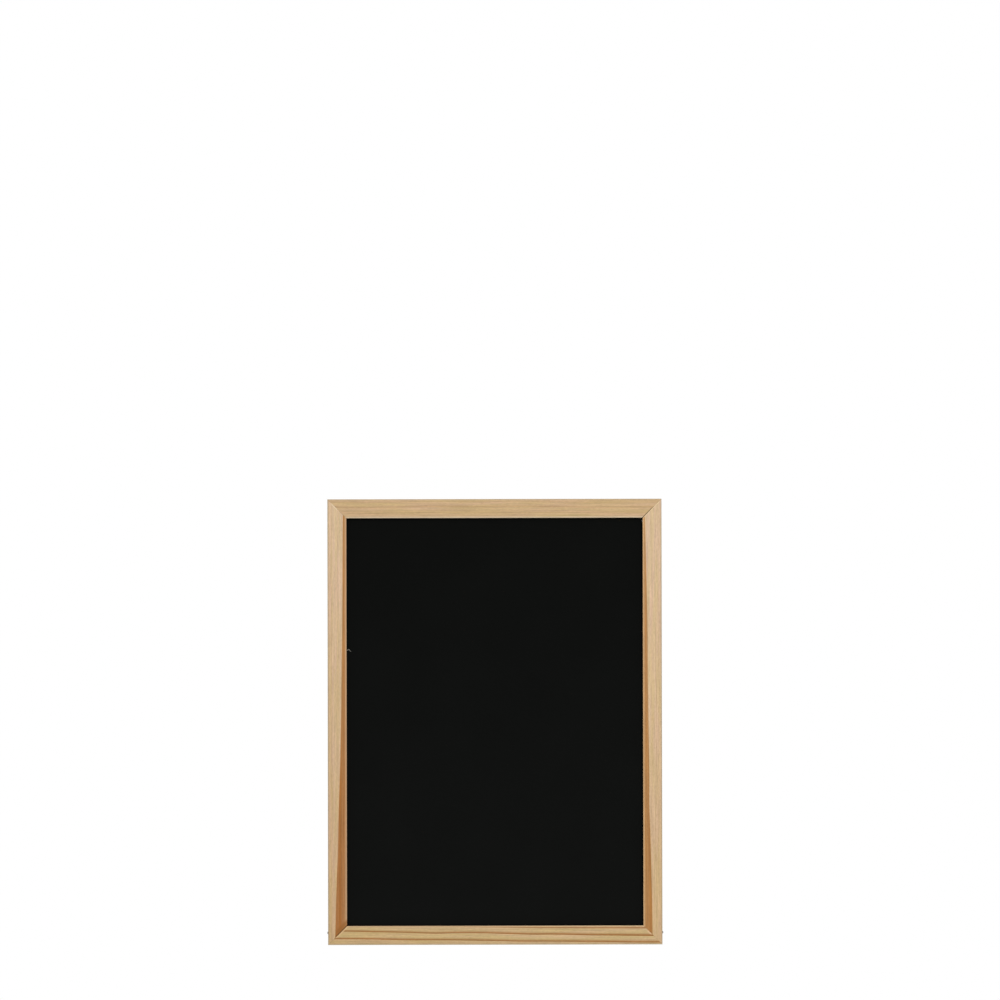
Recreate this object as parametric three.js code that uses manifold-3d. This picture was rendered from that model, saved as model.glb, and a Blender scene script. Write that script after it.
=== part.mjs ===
// Magnetic chalkboard: a lacquered steel sheet on hardboard, held in the groove of a mitred pine frame.
// Millimetres. X is the viewer's right, Y points back to the wall and Z is up. The wall is the plane Y = 0, and
// Z = 0 is the height of the bars that the two hanger rings swing on.
import * as THREE from "three";
import { mergeVertices } from "three/addons/utils/BufferGeometryUtils.js";
import Module from "manifold-3d";

// Panel
const SHEET_THICKNESS = 0.4;
const BACKBOARD_THICKNESS = 3;

// Frame, and the groove in it that holds the panel
const BOARD_WIDTH = 300;
const BOARD_HEIGHT = 400;
const RAIL_WIDTH = 17;
const RAIL_DEPTH = 13;
const FRONT_ROUND = 0.9;
const BACK_ROUND = 0.5;
const LIP_DEPTH = 3.5;
const GROOVE_DEPTH = 5;
const PANEL_PLAY = 0.2;
const PANEL_EDGE_GAP = 0.5;
const GROOVE_WIDTH = SHEET_THICKNESS + BACKBOARD_THICKNESS + PANEL_PLAY;
const WOOD_BEHIND_GROOVE = RAIL_DEPTH - LIP_DEPTH - GROOVE_WIDTH;

// Mitres: the gap all along each one, and how much wider than that each has opened at its inner end
const MITRE_GAP = 0.1;
const OPENED_TOP_LEFT = 0.08;
const OPENED_TOP_RIGHT = 0.35;
const OPENED_BOTTOM_LEFT = 0.3;
const OPENED_BOTTOM_RIGHT = 0.08;

// V-nails, two pressed into each mitre from the back; their places are measured along the mitre
const V_NAIL_THICKNESS = 0.5;
const V_NAIL_HALF_SPAN = 4.2;
const V_NAIL_RISE = 2.9;
const V_NAIL_CURL = 0.9;
const V_NAIL_SUNK = 0.15;
const V_NAIL_FIT = 0.05;
const V_NAIL_WOOD_UNDER = 0.75;
const V_NAIL_HEIGHT = WOOD_BEHIND_GROOVE - V_NAIL_SUNK - V_NAIL_WOOD_UNDER;
const V_NAIL_FROM_OUTSIDE = 6;
const V_NAIL_FROM_INSIDE = 10.5;

// Pins that close the bottom corners from the sides, between the groove's floor and the outer edge
const PIN_DIAMETER = 1.2;
const PIN_LENGTH = 28;
const PIN_POINT = 2.4;
const PIN_HEAD_DIAMETER = 2.2;
const PIN_HEAD_HEIGHT = 0.8;
const PIN_HEAD_BEVEL = 0.25;
const PIN_FIT = 0.04;
const PIN_WOOD_ABOVE = 0.46;
const PIN_UNDER_V_NAIL = 0.75;
const PIN_ABOVE_BOTTOM = RAIL_WIDTH - GROOVE_DEPTH - PIN_WOOD_ABOVE - PIN_FIT - PIN_DIAMETER / 2;
const PIN_FROM_BACK = V_NAIL_SUNK + V_NAIL_HEIGHT + PIN_UNDER_V_NAIL + PIN_DIAMETER / 2;

// Hangers: the ring of round wire, the screw, and the strap that the screw holds and the ring swings in
const HANGER_BELOW_TOP = 60;
const WIRE_DIAMETER = 1.6;
const RING_PLAY = 0.1;
const RING_CORNER = 1.6;
const RING_ARM = 3;
const RING_BESIDE_STRAP = 0.8;
const STRAP_WIDTH = 8;
const STRAP_THICKNESS = 0.8;
const STRAP_CURL_DEGREES = 292;
const STRAP_HOLE_PLAY = 0.25;
const SCREW_DIAMETER = 2.9;
const SCREW_CORE_DIAMETER = 2.1;
const SCREW_LENGTH = 9.5;
const SCREW_POINT = 2.5;
const SCREW_PITCH = 1.1;
const SCREW_FLANK = 0.36;
const SCREW_HEAD_DIAMETER = 5.6;
const SCREW_HEAD_HEIGHT = 2.1;
const SCREW_HEAD_RIM = 0.5;
const SCREW_HEAD_TOP_DIAMETER = 3;
const SCREW_CROSS_SPAN = 3.2;
const SCREW_CROSS_WIDTH = 0.9;
const SCREW_CROSS_DEPTH = 1.2;
const SCREW_FIT = 0.06;
const SCREW_CLEAR_OF_RING = 1.4;
const RING_HALF_WIDTH = STRAP_WIDTH / 2 + RING_BESIDE_STRAP + RING_CORNER;
const RING_REACH = RING_CORNER + RING_ARM + RING_HALF_WIDTH;
const SCREW_BELOW_BAR = RING_REACH + WIRE_DIAMETER / 2 + SCREW_CLEAR_OF_RING + SCREW_HEAD_DIAMETER / 2;
const CURL_INNER = WIRE_DIAMETER / 2 + RING_PLAY;
const BAR_FROM_BACK = STRAP_THICKNESS + CURL_INNER;

// Felt pads, which hold the bottom of the board as far off the wall as the hangers hold the top
const HANGER_CLEAR_OF_WALL = 0.1;
const PAD_THICKNESS = BAR_FROM_BACK + CURL_INNER + STRAP_THICKNESS + HANGER_CLEAR_OF_WALL;
const PAD_DIAMETER = 12;
const PAD_ABOVE_BOTTOM = 34;
const PAD_BEVEL = 0.5;

// Places that several pieces share
const RIGHT = BOARD_WIDTH / 2;
const TOP = HANGER_BELOW_TOP;
const BOTTOM = TOP - BOARD_HEIGHT;
const MIDDLE = (TOP + BOTTOM) / 2;
const STILE_CENTRE = RIGHT - RAIL_WIDTH / 2;
const BACK = -PAD_THICKNESS;
const GROOVE_BACK = -WOOD_BEHIND_GROOVE;
const GROOVE_FRONT = GROOVE_BACK - GROOVE_WIDTH;

// How far a cutter runs on past the face that it opens
const PAST = 1;

const pine = { color: 0xd2b487, roughness: 0.6, metalness: 0 };
const blackLacquer = { color: 0x111212, roughness: 0.85, metalness: 0 };
const hardboard = { color: 0x6b4a30, roughness: 0.8, metalness: 0 };
const zincSteel = { color: 0xb4b6b8, roughness: 0.35, metalness: 1 };
const darkSteel = { color: 0x6a6c70, roughness: 0.45, metalness: 1 };
const felt = { color: 0x3a3733, roughness: 1, metalness: 0 };

const wasm = await Module();
wasm.setup();

function point(x, y) {
  return new THREE.Vector2(x, y);
}

// A closed geometry as a solid that can be cut
function solid(geometry) {
  const bare = geometry.clone();
  bare.deleteAttribute("normal");
  bare.deleteAttribute("uv");
  const merged = mergeVertices(bare, 1e-4);
  return new wasm.Manifold(
    new wasm.Mesh({
      numProp: 3,
      vertProperties: new Float32Array(merged.attributes.position.array),
      triVerts: new Uint32Array(merged.index.array),
    }),
  );
}

function geometryOf(body) {
  const mesh = body.getMesh();
  const geometry = new THREE.BufferGeometry();
  geometry.setAttribute("position", new THREE.BufferAttribute(mesh.vertProperties, 3));
  geometry.setIndex(new THREE.BufferAttribute(mesh.triVerts, 1));
  return geometry;
}

function cut(geometry, cutters) {
  return geometryOf(cutters.reduce((body, cutter) => body.subtract(solid(cutter)), solid(geometry)));
}

// An outline drawn in X and Z, solid from y = 0 forward to y = -depth
function plate(shape, depth) {
  return new THREE.ExtrudeGeometry(shape, { depth, bevelEnabled: false, curveSegments: 10 }).rotateX(Math.PI / 2);
}

// A turned piece, from its profile of points (radius, y)
function turned(profile, segments) {
  return new THREE.LatheGeometry(profile, segments);
}

// Points round an arc, both ends included
function arc(x, y, radius, start, sweep, steps) {
  return Array.from({ length: steps + 1 }, (_, i) => {
    const angle = start + (i / steps) * sweep;
    return point(x + radius * Math.cos(angle), y + radius * Math.sin(angle));
  });
}

// The outline of a strip of even thickness that follows an open line
function strip(line, thickness) {
  const last = line.length - 1;
  const side = (offset) =>
    line.map((at, i) => {
      const from = Math.max(i, 1);
      const to = Math.min(i, last - 1);
      const arriving = line[from].clone().sub(line[from - 1]).normalize();
      const leaving = line[to + 1].clone().sub(line[to]).normalize();
      const square = point(-leaving.y, leaving.x);
      const mitred = point(-arriving.y, arriving.x).add(square).normalize();
      return at.clone().addScaledVector(mitred, offset / mitred.dot(square));
    });
  return new THREE.Shape([...side(thickness / 2), ...side(-thickness / 2).reverse()]);
}

// Frame member, lying level with its outer edge on z = 0 and its back on y = 0, both ends mitred
function member(length, openedAtStart, openedAtEnd) {
  const front = -RAIL_DEPTH;
  const floor = RAIL_WIDTH - GROOVE_DEPTH;
  const quarter = Math.PI / 2;
  const section = new THREE.Shape([
    ...arc(FRONT_ROUND, front + FRONT_ROUND, FRONT_ROUND, 2 * quarter, quarter, 4),
    ...arc(RAIL_WIDTH - FRONT_ROUND, front + FRONT_ROUND, FRONT_ROUND, -quarter, quarter, 4),
    point(RAIL_WIDTH, GROOVE_FRONT),
    point(floor, GROOVE_FRONT),
    point(floor, GROOVE_BACK),
    point(RAIL_WIDTH, GROOVE_BACK),
    ...arc(RAIL_WIDTH - BACK_ROUND, -BACK_ROUND, BACK_ROUND, 0, quarter, 3),
    ...arc(BACK_ROUND, -BACK_ROUND, BACK_ROUND, quarter, quarter, 3),
  ]);
  const geometry = new THREE.ExtrudeGeometry(section, { depth: 1, bevelEnabled: false });
  const position = geometry.attributes.position;
  for (let i = 0; i < position.count; i += 1) {
    const across = position.getX(i);
    const atStart = position.getZ(i) > 0;
    const opened = MITRE_GAP + (atStart ? openedAtStart : openedAtEnd) * (across / RAIL_WIDTH);
    const reach = length / 2 - across - opened / Math.SQRT2;
    position.setXYZ(i, atStart ? -reach : reach, position.getY(i), across);
  }
  return geometry;
}

// V-nail with its fold at the origin, standing forward from y = 0; room turns it into the slot that it fits
function vNail(room) {
  const curl = V_NAIL_CURL + room / Math.SQRT2;
  const past = room ? PAST : 0;
  const line = [
    point(curl - V_NAIL_HALF_SPAN, V_NAIL_RISE + curl),
    point(-V_NAIL_HALF_SPAN, V_NAIL_RISE),
    point(0, 0),
    point(V_NAIL_HALF_SPAN, V_NAIL_RISE),
    point(V_NAIL_HALF_SPAN - curl, V_NAIL_RISE + curl),
  ];
  return plate(strip(line, V_NAIL_THICKNESS + 2 * room), V_NAIL_HEIGHT + room + past).translate(0, past, 0);
}

// Pin pointing down -Y, the underside of its head on y = 0
function cornerPin() {
  const shank = PIN_DIAMETER / 2;
  const head = PIN_HEAD_DIAMETER / 2;
  const profile = [
    point(0, -PIN_LENGTH),
    point(shank, PIN_POINT - PIN_LENGTH),
    point(shank, 0),
    point(head, 0),
    point(head, PIN_HEAD_HEIGHT - PIN_HEAD_BEVEL),
    point(head - PIN_HEAD_BEVEL, PIN_HEAD_HEIGHT),
    point(0, PIN_HEAD_HEIGHT),
  ];
  return turned(profile, 14);
}

// The pointed hole that a pin or screw goes down, from y = 0
function pointedHole(radius, length, pointLength) {
  const profile = [point(0, -length), point(radius, pointLength - length), point(radius, PAST), point(0, PAST)];
  return turned(profile, 20);
}

// Strap lying on the wood at y = 0, its top end rolled round the ring's bar at z = 0
function hangerStrap() {
  const end = SCREW_BELOW_BAR + STRAP_WIDTH / 2;
  const sweep = THREE.MathUtils.degToRad(STRAP_CURL_DEGREES);
  const line = [
    point(-end, STRAP_THICKNESS / 2),
    ...arc(0, BAR_FROM_BACK, CURL_INNER + STRAP_THICKNESS / 2, -Math.PI / 2, sweep, 18),
  ];
  const folded = new THREE.ExtrudeGeometry(strip(line, STRAP_THICKNESS), { depth: STRAP_WIDTH, bevelEnabled: false });
  folded.translate(0, 0, -STRAP_WIDTH / 2).rotateY(-Math.PI / 2);
  const rounded = new THREE.Shape();
  rounded.moveTo(-STRAP_WIDTH / 2, STRAP_WIDTH);
  rounded.lineTo(-STRAP_WIDTH / 2, -SCREW_BELOW_BAR);
  rounded.absarc(0, -SCREW_BELOW_BAR, STRAP_WIDTH / 2, Math.PI, 2 * Math.PI, false);
  rounded.lineTo(STRAP_WIDTH / 2, STRAP_WIDTH);
  const height = PAD_THICKNESS + 2 * PAST;
  const outline = plate(rounded, height).translate(0, height - PAST, 0);
  const hole = turned(
    [point(0, -PAST), point(1, -PAST), point(1, STRAP_THICKNESS + PAST), point(0, STRAP_THICKNESS + PAST)],
    20,
  );
  const radius = SCREW_DIAMETER / 2 + STRAP_HOLE_PLAY;
  hole.scale(radius, 1, radius).translate(0, 0, -SCREW_BELOW_BAR);
  return geometryOf(solid(folded).intersect(solid(outline)).subtract(solid(hole)));
}

// Ring bent from round wire and butted shut, hanging down from its straight bar at the origin
function hangerRing() {
  const half = RING_HALF_WIDTH;
  const quarter = Math.PI / 2;
  const loop = [
    ...arc(half - RING_CORNER, -RING_CORNER, RING_CORNER, quarter, -quarter, 5),
    ...arc(0, half - RING_REACH, half, 0, -2 * quarter, 24),
    ...arc(RING_CORNER - half, -RING_CORNER, RING_CORNER, -2 * quarter, -quarter, 5),
  ];
  const sides = 12;
  const vertices = loop.flatMap((at, i) => {
    const arriving = at.clone().sub(loop.at(i - 1)).normalize();
    const leaving = loop[(i + 1) % loop.length].clone().sub(at).normalize();
    const square = point(-leaving.y, leaving.x);
    const outward = point(-arriving.y, arriving.x).add(square).normalize();
    outward.divideScalar(outward.dot(square));
    return arc(0, 0, WIRE_DIAMETER / 2, 0, 2 * Math.PI, sides)
      .slice(0, sides)
      .flatMap((p) => [at.x + outward.x * p.x, p.y, at.y + outward.y * p.x]);
  });
  const faces = loop.flatMap((_, i) => {
    const here = i * sides;
    const there = ((i + 1) % loop.length) * sides;
    return Array.from({ length: sides }, (__, j) => {
      const k = (j + 1) % sides;
      return [here + j, there + j, here + k, here + k, there + j, there + k];
    }).flat();
  });
  const geometry = new THREE.BufferGeometry();
  geometry.setAttribute("position", new THREE.Float32BufferAttribute(vertices, 3));
  geometry.setIndex(faces);
  return geometry;
}

// Pan-head wood screw pointing down -Y, the underside of its head on y = 0
function hangerScrew() {
  const core = SCREW_CORE_DIAMETER / 2;
  const crest = SCREW_DIAMETER / 2;
  const head = SCREW_HEAD_DIAMETER / 2;
  const top = SCREW_HEAD_TOP_DIAMETER / 2;
  const threadStart = SCREW_POINT - SCREW_LENGTH;
  const threads = Math.floor((-STRAP_THICKNESS - threadStart) / SCREW_PITCH);
  const thread = Array.from({ length: threads }, (_, i) => threadStart + i * SCREW_PITCH).flatMap((y) => [
    point(core, y),
    point(crest, y + SCREW_FLANK),
    point(core, y + 2 * SCREW_FLANK),
  ]);
  const dome = arc(0, 0, 1, 0, Math.PI / 2, 6).map((p) =>
    point(top + (head - top) * p.x, SCREW_HEAD_RIM + (SCREW_HEAD_HEIGHT - SCREW_HEAD_RIM) * p.y),
  );
  const profile = [point(0, -SCREW_LENGTH), ...thread, point(core, 0), point(head, 0), ...dome];
  profile.push(point(0, SCREW_HEAD_HEIGHT));
  const cross = [
    new THREE.BoxGeometry(SCREW_CROSS_SPAN, 2 * SCREW_CROSS_DEPTH, SCREW_CROSS_WIDTH),
    new THREE.BoxGeometry(SCREW_CROSS_WIDTH, 2 * SCREW_CROSS_DEPTH, SCREW_CROSS_SPAN),
  ].map((slot) => slot.translate(0, SCREW_HEAD_HEIGHT, 0));
  return cut(turned(profile, 24), cross);
}

// Pad stuck on the wood at y = 0
function wallPad() {
  const r = PAD_DIAMETER / 2;
  const profile = [
    point(0, 0),
    point(r, 0),
    point(r, PAD_THICKNESS - PAD_BEVEL),
    point(r - PAD_BEVEL, PAD_THICKNESS),
    point(0, PAD_THICKNESS),
  ];
  return turned(profile, 32);
}

// Everything is placed from the back of the frame, so this group holds y = 0 there
const board = new THREE.Group();
board.name = "magnetic_chalkboard";
board.position.y = BACK;

function piece(parent, name, geometry, finish) {
  const mesh = new THREE.Mesh(geometry, new THREE.MeshStandardMaterial(finish));
  mesh.name = name;
  parent.add(mesh);
  return mesh;
}

function group(parent, x, y, z) {
  const placed = new THREE.Group();
  placed.position.set(x, y, z);
  parent.add(placed);
  return placed;
}

// The holes that fasteners need in the frame, each in its fastener's own place
const holes = [];

function drill(fastener, geometry) {
  holes.push({ fastener, geometry });
}

const panelInset = RAIL_WIDTH - GROOVE_DEPTH + PANEL_EDGE_GAP;
const panelWidth = BOARD_WIDTH - 2 * panelInset;
const panelHeight = BOARD_HEIGHT - 2 * panelInset;
const panel = group(board, 0, GROOVE_FRONT + PANEL_PLAY / 2, MIDDLE);
const sheet = new THREE.BoxGeometry(panelWidth, SHEET_THICKNESS, panelHeight);
piece(panel, "steel_sheet", sheet, blackLacquer).position.y = SHEET_THICKNESS / 2;
const backboard = new THREE.BoxGeometry(panelWidth, BACKBOARD_THICKNESS, panelHeight);
piece(panel, "backboard", backboard, hardboard).position.y = SHEET_THICKNESS + BACKBOARD_THICKNESS / 2;

// Each corner's turns, in eighths, take +Z to the way in along its mitre
const corners = {
  top_left: { x: -RIGHT, z: TOP, turn: 3, opened: OPENED_TOP_LEFT },
  top_right: { x: RIGHT, z: TOP, turn: -3, opened: OPENED_TOP_RIGHT },
  bottom_left: { x: -RIGHT, z: BOTTOM, turn: 1, opened: OPENED_BOTTOM_LEFT },
  bottom_right: { x: RIGHT, z: BOTTOM, turn: -1, opened: OPENED_BOTTOM_RIGHT },
};
const eighth = Math.PI / 4;

for (const [name, corner] of Object.entries(corners)) {
  const mitre = group(board, corner.x, -V_NAIL_SUNK, corner.z);
  mitre.rotation.y = corner.turn * eighth;
  const along = { outer: V_NAIL_FROM_OUTSIDE, inner: RAIL_WIDTH * Math.SQRT2 - V_NAIL_FROM_INSIDE };
  for (const [which, z] of Object.entries(along)) {
    const nail = piece(mitre, `v_nail_${name}_${which}`, vNail(0), darkSteel);
    nail.position.z = z;
    drill(nail, vNail(V_NAIL_FIT));
  }
}

for (const [side, sign] of Object.entries({ left: -1, right: 1 })) {
  const pin = piece(board, `corner_pin_${side}`, cornerPin(), darkSteel);
  pin.position.set(sign * RIGHT, -PIN_FROM_BACK, BOTTOM + PIN_ABOVE_BOTTOM);
  pin.rotation.z = -sign * 2 * eighth;
  drill(pin, pointedHole(PIN_DIAMETER / 2 + PIN_FIT, PIN_LENGTH + PIN_FIT, PIN_POINT));

  const hanger = group(board, sign * STILE_CENTRE, 0, 0);
  piece(hanger, `hanger_strap_${side}`, hangerStrap(), zincSteel);
  piece(hanger, `hanger_ring_${side}`, hangerRing(), zincSteel).position.y = BAR_FROM_BACK;
  const screw = piece(hanger, `hanger_screw_${side}`, hangerScrew(), zincSteel);
  screw.position.set(0, STRAP_THICKNESS, -SCREW_BELOW_BAR);
  drill(screw, pointedHole(SCREW_DIAMETER / 2 + SCREW_FIT, SCREW_LENGTH + SCREW_FIT, SCREW_POINT));

  const pad = piece(board, `wall_pad_${side}`, wallPad(), felt);
  pad.position.set(sign * STILE_CENTRE, 0, BOTTOM + PAD_ABOVE_BOTTOM);
}

// Each member runs from its start corner to its end corner, turned in quarters from the bottom rail
const members = {
  bottom_rail: { x: 0, z: BOTTOM, turn: 0, length: BOARD_WIDTH, start: "bottom_left", end: "bottom_right" },
  right_stile: { x: RIGHT, z: MIDDLE, turn: -1, length: BOARD_HEIGHT, start: "bottom_right", end: "top_right" },
  top_rail: { x: 0, z: TOP, turn: 2, length: BOARD_WIDTH, start: "top_right", end: "top_left" },
  left_stile: { x: -RIGHT, z: MIDDLE, turn: 1, length: BOARD_HEIGHT, start: "top_left", end: "bottom_left" },
};

for (const [name, { x, z, turn, length, start, end }] of Object.entries(members)) {
  const blank = member(length, corners[start].opened, corners[end].opened);
  const rail = piece(board, name, blank, pine);
  rail.position.set(x, 0, z);
  rail.rotation.y = turn * 2 * eighth;
  board.updateMatrixWorld(true);
  const intoRail = rail.matrixWorld.clone().invert();
  const cutters = holes.map((hole) =>
    hole.geometry.clone().applyMatrix4(hole.fastener.matrixWorld).applyMatrix4(intoRail),
  );
  rail.geometry = cut(blank, cutters);
}

export default board;
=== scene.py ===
# Magnetic chalkboard, 30 by 40 cm: a black lacquered steel sheet on hardboard, held in a mitred pine frame
# that hangs on two D-rings. Metres. X is the viewer's right, Y points back to the wall at Y = 0 and Z is up.
import math

import bmesh
import bpy
from mathutils import Matrix, Vector, noise


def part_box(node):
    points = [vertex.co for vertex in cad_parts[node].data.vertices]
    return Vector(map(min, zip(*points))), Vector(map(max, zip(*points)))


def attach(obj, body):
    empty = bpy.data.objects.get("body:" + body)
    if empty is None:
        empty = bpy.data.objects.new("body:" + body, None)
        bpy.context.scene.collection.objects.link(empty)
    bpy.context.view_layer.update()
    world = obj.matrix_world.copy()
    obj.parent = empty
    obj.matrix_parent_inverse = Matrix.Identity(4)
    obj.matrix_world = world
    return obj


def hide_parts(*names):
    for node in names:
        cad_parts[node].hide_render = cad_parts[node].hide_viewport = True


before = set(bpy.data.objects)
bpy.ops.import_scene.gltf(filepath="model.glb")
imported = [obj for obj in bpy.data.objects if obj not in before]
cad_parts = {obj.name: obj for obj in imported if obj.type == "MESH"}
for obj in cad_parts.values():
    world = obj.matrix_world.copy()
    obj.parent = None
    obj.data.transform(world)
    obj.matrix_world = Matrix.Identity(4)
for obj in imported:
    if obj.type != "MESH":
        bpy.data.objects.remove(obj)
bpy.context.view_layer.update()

# Frame members: clear pine, planed to 17 by 13 mm, grooved for the panel, cut to 45 degrees, sanded on the
# edges and lacquered matt. Each comes from its own place in the log: the stiles show one broad band of late
# wood that widens downwards, the bottom rail three thin lines of it, and the top rail only fine rings.
MM = 0.001
QUARTER = math.pi / 2
FRONT_EDGE_RADIUS = 0.9 * MM
BACK_EDGE_RADIUS = 0.5 * MM
LIP_EDGE_RADIUS = 0.15 * MM
GROOVE_DEPTH = 5 * MM
PANEL_PLAY = 0.1 * MM
SANDING_WOBBLE = 0.25 * MM
SANDING_PATCH = 7 * MM
MITRE_TAKEN_UP = 0.06 * MM
STATION = 1.25 * MM
FLAT_STEP = 3 * MM
V_NAIL_FIT = 0.05 * MM
BORE_FIT = 0.05 * MM
PAST = 1 * MM
CREASE = math.radians(35)
BAND_LEAN = 0.5
APART_IN_LOG = 731
# How far the wood's patterns reach along and across the grain, in millimetres. A single fibre is too fine to
# show, so they are drawn in bundles.
PINE_PATTERNS = {
    "sway": (71.43, 33.33), "bundle": (28.57, 1.053), "resin_canal": (6.25, 0.3226),
    "patch": (58.82, 3.333), "cell": (3.333, 0.7692),
}
PIN_RADIUS = 0.6 * MM
PIN_LENGTH = 28 * MM
PIN_POINT = 2.4 * MM
SCREW_RADIUS = 1.45 * MM
SCREW_LENGTH = 9.5 * MM
SCREW_POINT = 2.5 * MM

stile_low, stile_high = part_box("left_stile")
sheet_low, sheet_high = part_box("steel_sheet")
backboard_low, backboard_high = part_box("backboard")
left, right = stile_low.x, -stile_low.x
bottom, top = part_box("bottom_rail")[0].z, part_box("top_rail")[1].z
middle = (bottom + top) / 2
back = stile_high.y
rail_width = stile_high.x - stile_low.x
rail_depth = stile_high.y - stile_low.y
groove_front = sheet_low.y - PANEL_PLAY - back
groove_back = backboard_high.y + PANEL_PLAY - back


def add_node(tree, kind, inputs=None, **settings):
    """Adds a node. inputs maps a socket's name or number to a value, a node or a node's output."""
    node = tree.nodes.new(kind)
    for name, value in settings.items():
        setattr(node, name, value)
    for key, value in (inputs or {}).items():
        if isinstance(value, bpy.types.Node):
            value = value.outputs[0]
        if isinstance(value, bpy.types.NodeSocket):
            tree.links.new(value, node.inputs[key])
        else:
            node.inputs[key].default_value = value
    return node


def linear(hex_colour):
    """An sRGB hex colour as the linear RGBA that a shader takes."""
    parts = [int(hex_colour[i:i + 2], 16) / 255 for i in (0, 2, 4)]
    return [c / 12.92 if c <= 0.04045 else ((c + 0.055) / 1.055) ** 2.4 for c in parts] + [1]


def new_material(name):
    """A material whose node tree is still empty."""
    material = bpy.data.materials.new(name)
    material.use_nodes = True
    material.node_tree.nodes.clear()
    return material


def planed_pine(name, place, rail, seed):
    """Matt lacquered pine: pale early wood, darker late wood and fine fibres along the rail. It is solid, so
    the front, edges and back show the same rings. The rail gives, in millimetres:
    early and late: the two woods' colours at its start and end.
    bands: late wood that starts sharply along a route of (along, across), holds, and is gone farther in, by
    one width at the start and another at the end.
    rings and thread: its fine rings, and the one that shows most.
    mitre marks: painted highlights and painted shadows along stretches of a mitre's front edge: at which
    end, from and to where across, how wide, and the colour.
    rim and lip: painted colours for the light on the front edges: shade on the outer one, pale on the bottom
    rail, and a highlight on the inner one."""
    material = new_material(name)
    tree = material.node_tree
    into = place.inverted()
    half = rail["length"] / 2 / MM
    width = rail_width / MM
    depth = rail_depth / MM
    early, late = rail["early"], rail["late"]
    rings, thread = rail["rings"], rail["thread"]
    here = add_node(tree, "ShaderNodeTexCoord")
    local = add_node(tree, "ShaderNodeMapping", {
        "Vector": here.outputs["Object"], "Location": into.translation / MM, "Rotation": into.to_euler(),
        "Scale": (1 / MM, 1 / MM, 1 / MM)})
    log = add_node(tree, "ShaderNodeVectorMath", {0: local, 1: (seed * APART_IN_LOG, 0, 0)}, operation="ADD")
    along, behind, across = add_node(tree, "ShaderNodeSeparateXYZ", {0: local}).outputs
    share = add_node(tree, "ShaderNodeMapRange", {0: along, 1: -half, 2: half})
    drawn = {}
    for pattern, (length, thickness) in PINE_PATTERNS.items():
        drawn[pattern] = add_node(tree, "ShaderNodeVectorMath", {
            0: log, 1: (length, thickness, thickness)}, operation="DIVIDE")

    wander = add_node(tree, "ShaderNodeTexNoise", {"Vector": drawn["sway"], "Scale": 1, "Detail": 1})
    sway = add_node(tree, "ShaderNodeMapRange", {0: wander, 3: -1.3, 4: 1.3})
    under = add_node(tree, "ShaderNodeMath", {0: behind, 1: depth}, operation="ADD")
    lean = add_node(tree, "ShaderNodeMath", {
        0: under, 1: rings["lean"], 2: across}, operation="MULTIPLY_ADD")
    place_in_rings = add_node(tree, "ShaderNodeMath", {0: lean, 1: sway}, operation="ADD")
    ring_noise = add_node(tree, "ShaderNodeTexNoise", {
        "W": place_in_rings, "Scale": 1 / rings["spacing"], "Detail": 2.5, "Roughness": 0.6},
        noise_dimensions="1D")
    depth_of_tone = add_node(tree, "ShaderNodeMapRange", {
        0: ring_noise, 1: 0.35, 2: 0.65, 3: 1.04, 4: 0.82})
    late_wood = add_node(tree, "ShaderNodeMapRange", {
        0: ring_noise, 1: 0.44, 2: 0.7, 3: 0, 4: rings["strength"]}, interpolation_type="SMOOTHSTEP")
    for band in rail["bands"]:
        curve = add_node(tree, "ShaderNodeFloatCurve", {"Value": share})
        spots = curve.mapping.curves[0].points
        route = [((u + half) / (2 * half), v / width) for u, v in band["route"]]
        spots[0].location, spots[-1].location = route[0], route[-1]
        for spot in route[1:-1]:
            spots.new(*spot)
        curve.mapping.update()
        edge = add_node(tree, "ShaderNodeMath", {
            0: curve, 1: -width, 2: across}, operation="MULTIPLY_ADD")
        leant = add_node(tree, "ShaderNodeMath", {
            0: under, 1: BAND_LEAN, 2: edge}, operation="MULTIPLY_ADD")
        past = add_node(tree, "ShaderNodeMath", {
            0: sway, 1: band["sway"], 2: leant}, operation="MULTIPLY_ADD")
        starts = add_node(tree, "ShaderNodeMapRange", {
            0: past, 1: -band["sharp"] / 2, 2: band["sharp"] / 2}, interpolation_type="SMOOTHSTEP")
        gone = add_node(tree, "ShaderNodeMapRange", {0: share, 3: band["gone"][0], 4: band["gone"][1]})
        fades = add_node(tree, "ShaderNodeMapRange", {
            0: past, 1: band["holds"], 2: gone, 3: 1, 4: 0}, interpolation_type="SMOOTHSTEP")
        shade = add_node(tree, "ShaderNodeMath", {0: starts, 1: fades}, operation="MULTIPLY")
        shade = add_node(tree, "ShaderNodeMath", {0: shade, 1: depth_of_tone}, operation="MULTIPLY")
        late_wood = add_node(tree, "ShaderNodeMath", {0: late_wood, 1: shade}, operation="MAXIMUM")
    off = add_node(tree, "ShaderNodeMath", {0: place_in_rings, 1: thread["across"]}, operation="SUBTRACT")
    off = add_node(tree, "ShaderNodeMath", {0: off}, operation="ABSOLUTE")
    thin = add_node(tree, "ShaderNodeMapRange", {
        0: off, 2: thread["width"], 3: thread["strength"], 4: 0}, interpolation_type="SMOOTHSTEP")
    late_wood = add_node(tree, "ShaderNodeMath", {0: late_wood, 1: thin}, operation="MAXIMUM")

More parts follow.
